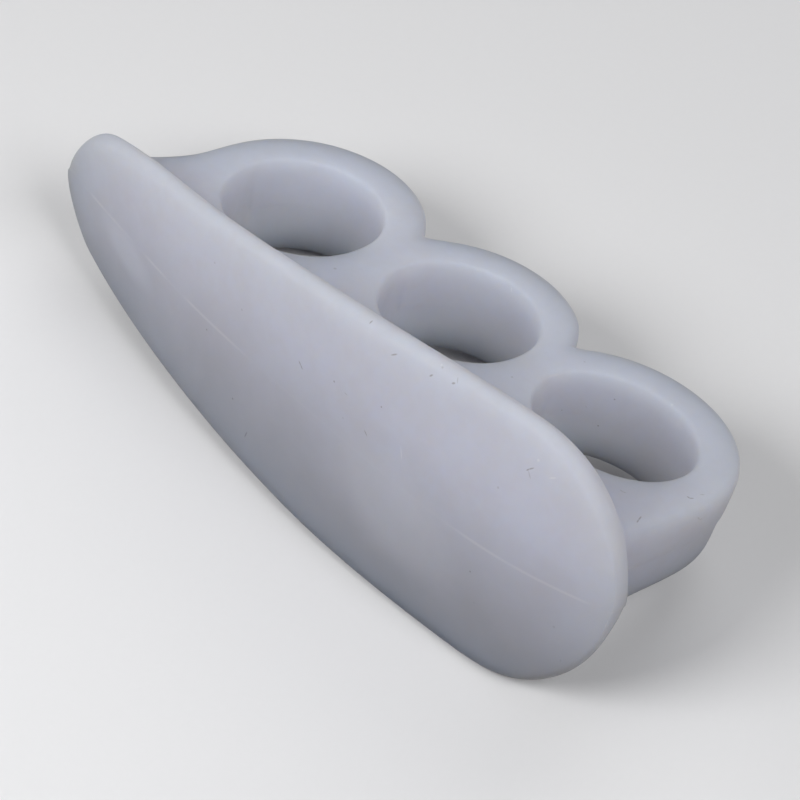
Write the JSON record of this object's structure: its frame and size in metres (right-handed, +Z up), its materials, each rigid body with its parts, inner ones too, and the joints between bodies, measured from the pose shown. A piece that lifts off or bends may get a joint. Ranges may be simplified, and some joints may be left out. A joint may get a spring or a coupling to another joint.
{
  "type": "toe separator",
  "caption": "Soft crest pad with toe loops in a row along its back, moulded as one body of clear-white silicone gel.",
  "frame": {"origin": "middle of the bounding box's bottom face, on the surface that the part rests on", "axes": "+X along the row of loops towards the pad's wide end, +Y from the pad towards the loops, +Z up as it lies at rest"},
  "size_m": [0.0804, 0.0336, 0.0284],
  "materials": {
    "clear_white_silicone": "satin, slightly translucent"
  },
  "bodies": {
    "root": {"toe_separator": "clear_white_silicone"}
  },
  "joints": []
}
